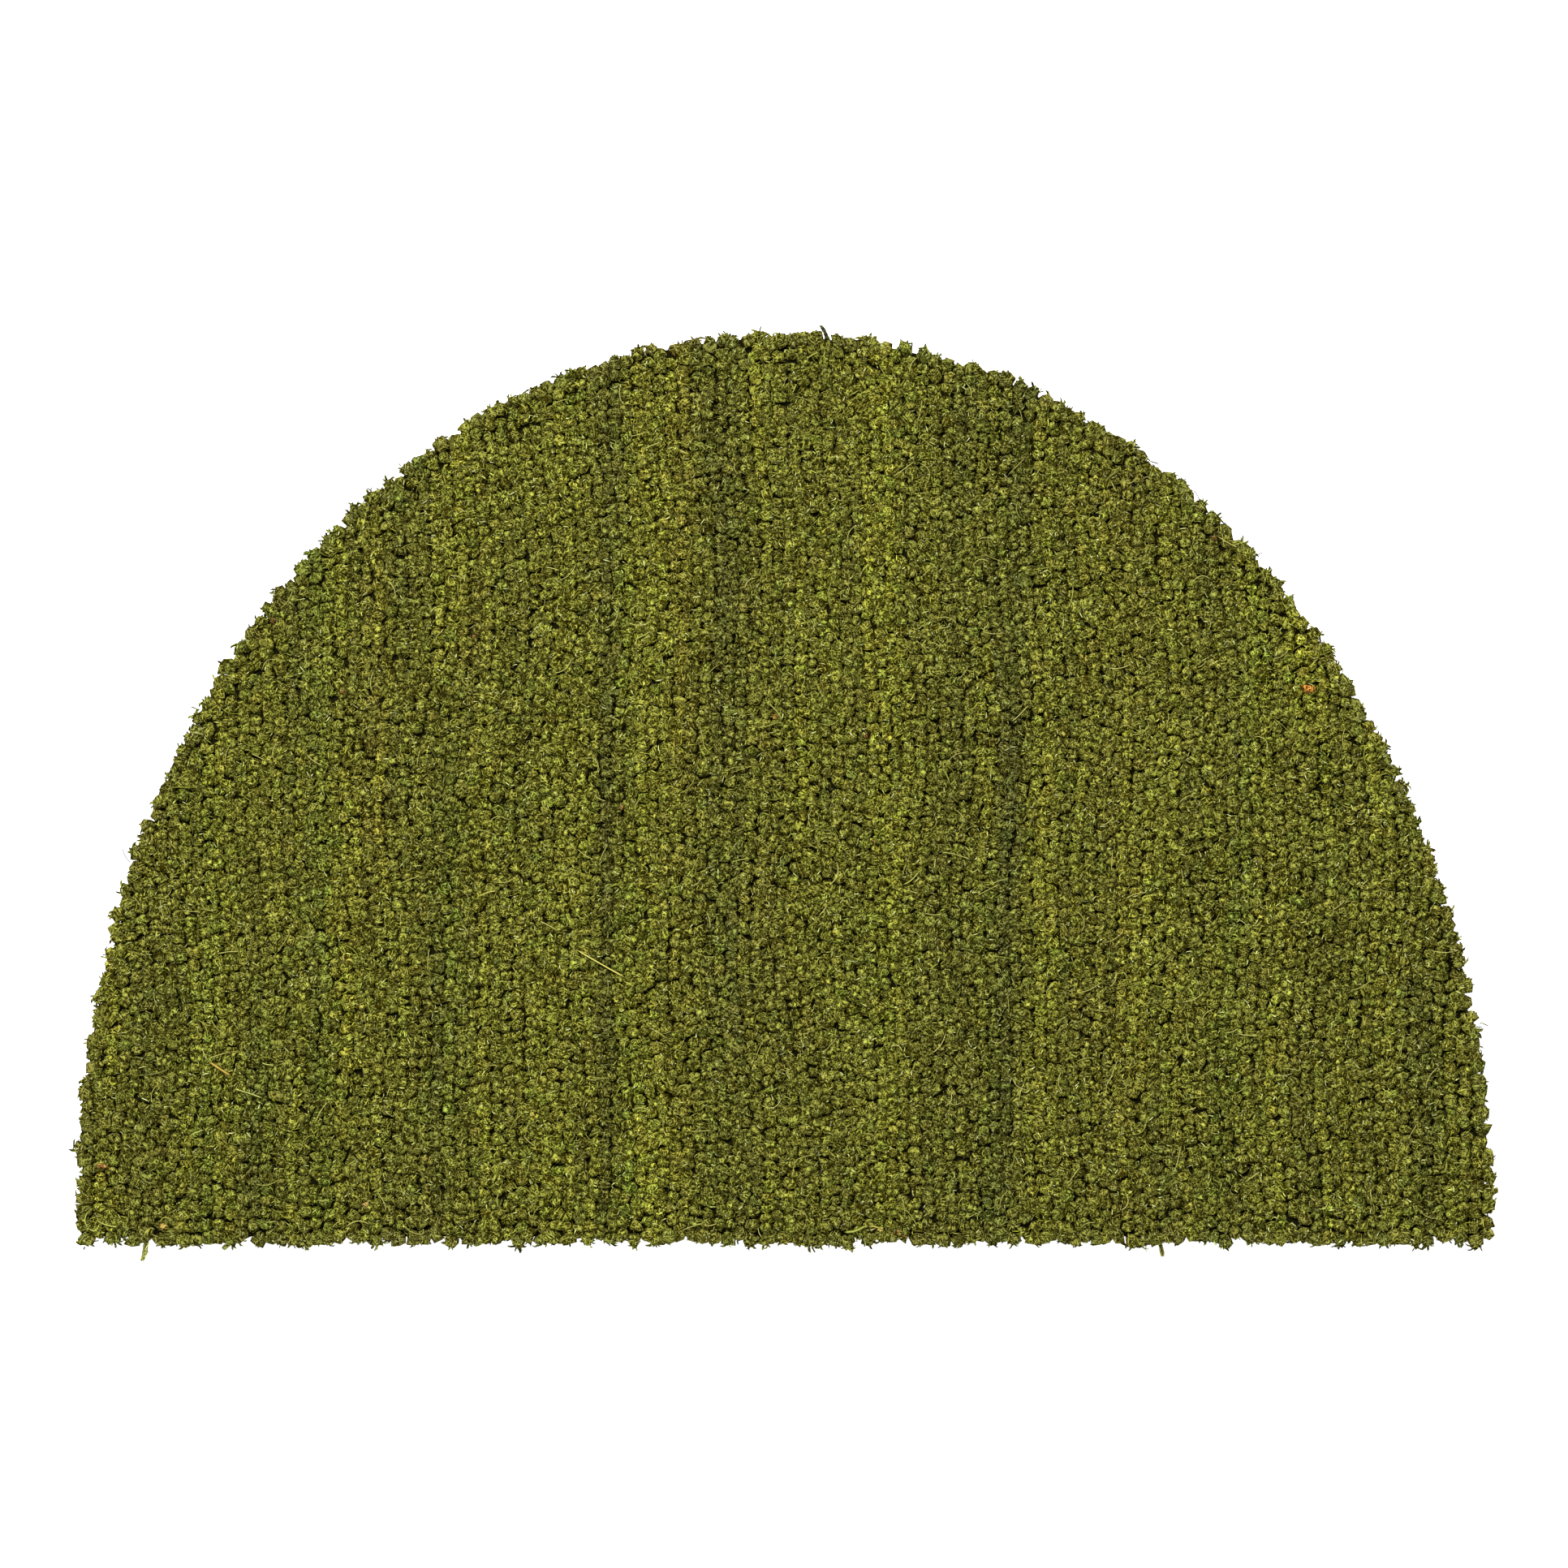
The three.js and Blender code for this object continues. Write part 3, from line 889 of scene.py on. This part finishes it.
# A mix of vectors takes its two vectors at the inputs 4 and 5.
coloured = add_node(
    dyed_fibre,
    "ShaderNodeMix",
    [(0, stroke.outputs[0]), (4, shade_between.outputs[0]), (5, paler.outputs[0])],
    data_type="VECTOR",
)
strands = add_node(
    dyed_fibre,
    "ShaderNodeBump",
    [("Height", stroke.outputs[0])],
    Strength=1.0,
    Distance=STROKE_HEIGHT * MM,
)
finish_material(
    dyed_fibre,
    add_node(
        dyed_fibre,
        "ShaderNodeBsdfPrincipled",
        [("Base Color", coloured.outputs[1]), ("Normal", strands.outputs["Normal"])],
        Roughness=0.8,
        IOR=1.5,
        Specular_IOR_Level=0.0,
    ),
)


# The pile is made in strips from left to right with as many tufts in each, so that no strip has
# more than 200,000 triangles. Nothing parts them in the real mat.
STRIPS = 6
FIELD_CURLS = 5  # of each tuft, and every second one has a long stray fibre too
RIM_CURLS = 9
RIM_LOCKS = 9

# What curls() takes for each kind of curl.
FIELD_CURL = {"start": (0.2, 1.3), "length": (2.4, 5.0), "lift": 0.5}
STRAY_CURL = {"start": (0.5, 2), "length": (4, 8), "lift": 0.7}
RIM_CURL = {"start": (0.2, 1.1), "length": (2.0, 3.6), "lift": 0.3}

# The rings of a bud from its foot to its top: the depth under the top, the share of the tuft's
# reach, and the painted shade, darker lower down. The first and the last are its two ends.
FIELD_PROFILE = [(9, 0, 0.2), (2.1, 1.12, 0.72), (0.9, 0, 0.82)]
KNOT_PROFILE = [(3.5, 0, 0.4), (1.1, 1, 0.78), (0.1, 0, 0.95)]
RIM_PROFILE = [
    (13.6, 0, 0.4),
    (12.8, 0.85, 0.4),
    (2.0, 1.2, 0.6),
    (0.8, 0.65, 0.75),
    (0.5, 0, 0.86),
]


def some(tufts, chosen):
    """The facts on some of the tufts: those for which chosen is true."""
    return SimpleNamespace(**{name: fact[chosen] for name, fact in vars(tufts).items()})


strip_edges = np.quantile(field[:, 0], np.linspace(0, 1, STRIPS + 1)[1:-1])
strip_of = np.digitize(field[:, 0], strip_edges)
for number in range(STRIPS):
    here = strip_of == number
    inner, outer = some(tufts, here & ~on_rim), some(tufts, here & on_rim)
    inners, outers = np.arange(len(inner.centres)), np.arange(len(outer.centres))
    strays = chance.choice(inners, len(inners) // 2, replace=False)
    strip_mesh = joined(
        [
            buds(inner, FIELD_PROFILE),
            buds(outer, RIM_PROFILE),
            buds(some(knots, here[knot_of]), KNOT_PROFILE),
            curls(inner, np.repeat(inners, FIELD_CURLS), **FIELD_CURL),
            curls(inner, strays, **STRAY_CURL),
            curls(outer, np.repeat(outers, RIM_CURLS), **RIM_CURL),
            locks(outer, np.repeat(outers, RIM_LOCKS)),
        ]
    )
    add_to_pile(mesh_object(f"pile_strip_{number + 1}", *strip_mesh), dyed_fibre)


# Loose fibres lie on the pile where they were never spun in or have worked free. They are coconut
# fibre too, much of it undyed straw. The longest are placed by the photograph, the rest by chance.
PLACED_FIBRES = [
    # x, y of the start, the middle and the end, half width, colour
    (-102.7, -80.2, -90.2, -87.4, -77.4, -94.6, 0.4, "#d8d064"),
    (-284.3, -135.5, -278.7, -139.3, -273.1, -142.8, 0.65, "#b89c3c"),
    (-271.9, -149.2, -264.7, -151.2, -257.4, -154.0, 0.25, "#ccce6c"),
    (-150.4, -54.1, -146.4, -52.1, -141.6, -51.3, 0.3, "#c8c060"),
    (-343.7, -209.6, -345.4, -214.1, -343.7, -218.1, 0.27, "#bec254"),
    (-343.7, -218.1, -340.4, -219.3, -338.2, -215.6, 0.27, "#bec254"),
    (-339.8, -214.0, -334.9, -216.5, -328.9, -217.5, 0.3, "#bec254"),
    (-329.2, -211.2, -328.4, -212.3, -327.8, -213.7, 0.22, "#bec254"),
    (-308.4, -215.3, -305.6, -212.7, -301.6, -215.3, 0.25, "#b0b044"),
    (-293.5, -172.4, -290.0, -170.6, -286.7, -169.6, 0.25, "#ccd06c"),
    (-320.0, -142.4, -312.0, -141.9, -304.0, -139.5, 0.2, "#8c9040"),
    (-274.7, -171.0, -273.3, -171.2, -271.9, -171.0, 0.3, "#e8e09c"),
    (-257.9, -136.3, -255.0, -137.2, -251.8, -137.4, 0.25, "#c8cc68"),
    (-216.5, -217.7, -210.5, -214.5, -204.5, -216.5, 0.22, "#c6c060"),
    (11.5, 211.8, 14.4, 213.9, 17.4, 215.3, 0.27, "#b0b448"),
    (21.0, 215.6, 20.3, 212.9, 22.5, 211.3, 0.27, "#b0b448"),
    (22.5, 211.3, 24.1, 211.0, 26.1, 211.5, 0.27, "#b0b448"),
    (78.2, 9.3, 80.9, 6.0, 82.2, 1.3, 0.25, "#a0a43c"),
    (82.2, 1.3, 84.0, 2.4, 84.9, 4.8, 0.22, "#a0a43c"),
    (78.2, -32.1, 85.4, -33.3, 93.4, -36.1, 0.2, "#bcbc58"),
    (59.3, -48.1, 63.4, -45.9, 67.4, -41.3, 0.35, "#acb048"),
    (-26.1, -37.3, -21.3, -35.9, -16.0, -35.3, 0.2, "#b8bc50"),
    (32.8, 27.0, 33.6, 26.3, 34.2, 25.4, 0.3, "#f0e8b8"),
    (30.1, -220.1, 36.1, -219.3, 40.9, -216.7, 0.6, "#a0a63c"),
    (42.5, -217.3, 45.3, -217.3, 48.1, -218.5, 0.4, "#b8ac48"),
    (-326.8, -30.0, -325.4, -34.1, -322.4, -37.6, 0.2, "#1c1d14"),
    (202.5, 147.0, 204.9, 144.4, 206.0, 141.2, 0.2, "#1c1d14"),
    (232.6, 112.6, 234.6, 114.9, 237.6, 116.0, 0.2, "#1c1d14"),
]
LOOSE_STEPS = 9
LOOSE_STRAW = "#d0ca70"
LOOSE_LIFT = 1.1  # how high loose fibres lie over the tufts' mean top
LOOSE_MOTTLE = 0.08
CHANCE_FIBRES = 600  # those that would reach the rim are left out
CHANCE_LENGTH = (3, 13)
CHANCE_WIDTH = (0.12, 0.22)
CHANCE_BOW = 0.15  # as a share of the length
CHANCE_INSIDE = 3
LIGHTER_MOSS = 1.2
FEW_PALE = 1.5  # above 1, more of the chance fibres are dark than pale


def through(starts, middles, ends, steps):
    """Points along parabolas that pass a start, a middle and an end."""
    t = np.linspace(0, 1, steps)[:, None]
    weights = (1 - t) * (1 - 2 * t), 4 * t * (1 - t), t * (2 * t - 1)
    return sum(weight * spot[:, None] for weight, spot in zip(weights, (starts, middles, ends)))


def on_pile(plan, lift):
    """Points of the plan raised onto the pile's slow swell, and a little further in mid length."""
    along = np.linspace(0, np.pi, plan.shape[1])
    z = mean_top(plan[..., 0], plan[..., 1]) + lift * (0.4 + 0.6 * np.sin(along))
    return np.concatenate([plan, z[..., None]], 2)


placed = np.array([row[:7] for row in PLACED_FIBRES])
placed_plans = through(placed[:, 0:2], placed[:, 2:4], placed[:, 4:6], LOOSE_STEPS)
placed_paths = on_pile(placed_plans, LOOSE_LIFT)
placed_dyes = np.array([linear(row[7]) for row in PLACED_FIBRES])
starts = field[chance.choice(len(field), CHANCE_FIBRES, replace=False)]
aims = chance.uniform(0, 2 * np.pi, CHANCE_FIBRES)
aims = np.stack([np.cos(aims), np.sin(aims)], 1)
lengths = chance.uniform(*CHANCE_LENGTH, (CHANCE_FIBRES, 1))
bows = chance.normal(0, CHANCE_BOW, (CHANCE_FIBRES, 1)) * lengths
ends = starts + aims * lengths
square_to_aims = aims[:, ::-1] * [1, -1]
middles = (starts + ends) / 2 + bows * square_to_aims
kept = np.minimum(depth_inside(middles), depth_inside(ends)) > CHANCE_INSIDE
chance_paths = on_pile(through(starts, middles, ends, LOOSE_STEPS)[kept], LOOSE_LIFT)
paleness = chance.uniform(0, 1, (kept.sum(), 1)) ** FEW_PALE
darkest = linear(MOSS) * LIGHTER_MOSS
chance_dyes = darkest + paleness * (linear(LOOSE_STRAW) - darkest)
loose_paths = np.concatenate([placed_paths, chance_paths])
loose_widths = np.concatenate([placed[:, 6], chance.uniform(*CHANCE_WIDTH, kept.sum())])
loose_dyes = np.concatenate([placed_dyes, chance_dyes])
loose_shades = chance.normal(1, LOOSE_MOTTLE, loose_paths.shape[:2])
loose_mesh = fibres(loose_paths, loose_widths, FLAT * loose_widths, loose_dyes, loose_shades)

# A single coconut fibre: a stiff hollow hair with a waxy skin, a little uneven along its length,
# which the eye gets as one smooth pale line.
single_fibre = surface_material("single coconut fibre")
skin = add_node(single_fibre, "ShaderNodeAttribute", attribute_name="dye")
finish_material(
    single_fibre,
    add_node(
        single_fibre,
        "ShaderNodeBsdfPrincipled",
        [("Base Color", skin.outputs["Color"])],
        Roughness=0.55,
        IOR=1.5,
        Specular_IOR_Level=0.4,
    ),
)
add_to_pile(mesh_object("pile_loose_fibres", *loose_mesh), single_fibre)


# Flecks are bits of reddish husk and badly dyed yarn caught in the pile's top.
FLECKS = [
    # x, y, half length, half width, turn in degrees, colour
    (260.0, 48.5, 4.4, 2.0, -14, "#d88a28"),
    (-337.1, -187.6, 3.9, 1.3, -12, "#a07030"),
    (-252.6, 82.2, 1.8, 1.3, 30, "#8c6428"),
    (-153.2, 75.0, 1.7, 1.2, 80, "#8c6428"),
    (213.3, 123.5, 1.8, 1.2, 10, "#8c6428"),
    (-218.5, 47.3, 1.6, 1.2, -30, "#8c6428"),
    (-80.2, -10.0, 1.5, 1.2, 50, "#8c6428"),
    (-4.0, 34.9, 1.7, 1.4, 60, "#c09028"),
    (41.3, 25.3, 1.7, 1.3, 0, "#7c4a1c"),
    (44.9, -26.9, 1.3, 1.0, 20, "#8c6428"),
    (-306.8, -217.3, 2.6, 1.6, 5, "#c0a048"),
    (-206.5, -206.5, 2.2, 1.5, 15, "#b09048"),
    (48.2, -218.9, 1.9, 1.5, 0, "#c8b850"),
    (56.1, -220.2, 1.6, 1.2, 40, "#9c7028"),
    (59.7, -222.2, 1.4, 1.1, 0, "#8c6428"),
]
FLECK_SIDES = 9
FLECK_PROFILE = [(2.6, 0, 0.6), (0.9, 1, 0.85), (0, 0, 1)]
FLECK_LIFT = 1.2

flecks = np.array([row[:5] for row in FLECKS])
turns = np.radians(flecks[:, 4:])
fleck_angles = turns + np.linspace(0, 2 * np.pi, FLECK_SIDES, endpoint=False)
long_way = np.cos(fleck_angles - turns) / flecks[:, 2:3]
short_way = np.sin(fleck_angles - turns) / flecks[:, 3:4]
fleck_buds = SimpleNamespace(
    centres=flecks[:, :2],
    leans=np.zeros((len(flecks), 2)),
    tops=np.full(len(flecks), PILE_TOP + FLECK_LIFT),
    dyes=np.array([linear(row[5]) for row in FLECKS]),
    angles=fleck_angles,
    reaches=1 / np.hypot(long_way, short_way),
)
add_to_pile(mesh_object("pile_flecks", *buds(fleck_buds, FLECK_PROFILE)), dyed_fibre)


# Loose ends are yarns that have slipped out at the rim, and a few locks longer than the rest.
# Each is a bundle of twisted fibres that droops from the pile towards the floor.
LOOSE_ENDS = [
    # x, y, z of the root, x, y, z of the tip, sideways bow, radius at the root, at the tip, colour
    (-316.2, -221.0, 12, -319.2, -235.8, 4, 1.2, 1.3, 0.9, "#c2c76c"),
    (-271.0, -222.5, 12, -278.6, -229.6, 6, 0.4, 0.9, 1.0, "#b4b85e"),
    (185.3, -222.0, 11, 188.9, -233.6, 4, 0.3, 0.7, 0.9, "#a8a856"),
    (347.5, -200.3, 12, 354.8, -199.7, 10, -0.5, 0.7, 1.4, "#888827"),
    (-343.6, -182.5, 14, -351.6, -183.3, 11, 0.3, 1.4, 0.1, "#7c7c30"),
    (-345.5, -224.2, 13, -351.0, -225.9, 10, 0.2, 1.1, 0.5, "#888827"),
    (21.8, 221.5, 16, 18.4, 228.8, 15, -0.5, 1.0, 0.6, "#4c5030"),
]
END_FIBRES = 10
END_STEPS = 12
END_TWIST = 7.0  # how far a fibre goes round its yarn along the whole of it, in radians
END_UNTIDY = 0.2  # how unevenly the fibres stand round the yarn, in radians
END_SWING = (0.75, 0.15)  # a fibre's distance from the yarn's middle, as a share of its radius
END_FIBRE_WIDTH = 0.45  # as a share of the yarn's radius
END_MOTTLE = 0.25
END_ARCH = 1  # how much higher a yarn's middle lies than the line from its root to its tip

ends = np.array([row[:9] for row in LOOSE_ENDS])
roots, tips = ends[:, 0:3], ends[:, 3:6]
along = (tips - roots)[:, :2] / np.linalg.norm((tips - roots)[:, :2], axis=1, keepdims=True)
sideways = np.stack([-along[:, 1], along[:, 0], np.zeros(len(ends))], 1)
bent = (roots + tips) / 2 + ends[:, 6:7] * sideways + [0, 0, END_ARCH]
cores = through(roots, bent, tips, END_STEPS)[:, None]
radii = ends[:, 7:8] + (ends[:, 8:9] - ends[:, 7:8]) * np.linspace(0, 1, END_STEPS)
places = np.arange(END_FIBRES) * 2 * np.pi / END_FIBRES
places = places + chance.normal(0, END_UNTIDY, END_FIBRES)
around = places[:, None] + np.linspace(0, END_TWIST, END_STEPS)
swing = radii[:, None] * chance.normal(*END_SWING, (len(ends), END_FIBRES, END_STEPS))
end_paths = cores + (swing * np.cos(around))[..., None] * sideways[:, None, None]
end_paths = end_paths + (swing * np.sin(around))[..., None] * np.array([0, 0, 1])
end_paths = end_paths.reshape(-1, END_STEPS, 3)
end_widths = np.repeat(END_FIBRE_WIDTH * radii.mean(1), END_FIBRES)
end_dyes = np.repeat([linear(row[9]) for row in LOOSE_ENDS], END_FIBRES, 0)
end_dyes = end_dyes * np.exp(chance.normal(0, END_MOTTLE, (len(end_dyes), 1)))
end_mesh = fibres(end_paths, end_widths, end_widths, end_dyes, np.ones(end_paths.shape[:2]))
add_to_pile(mesh_object("pile_loose_ends", *end_mesh), dyed_fibre)
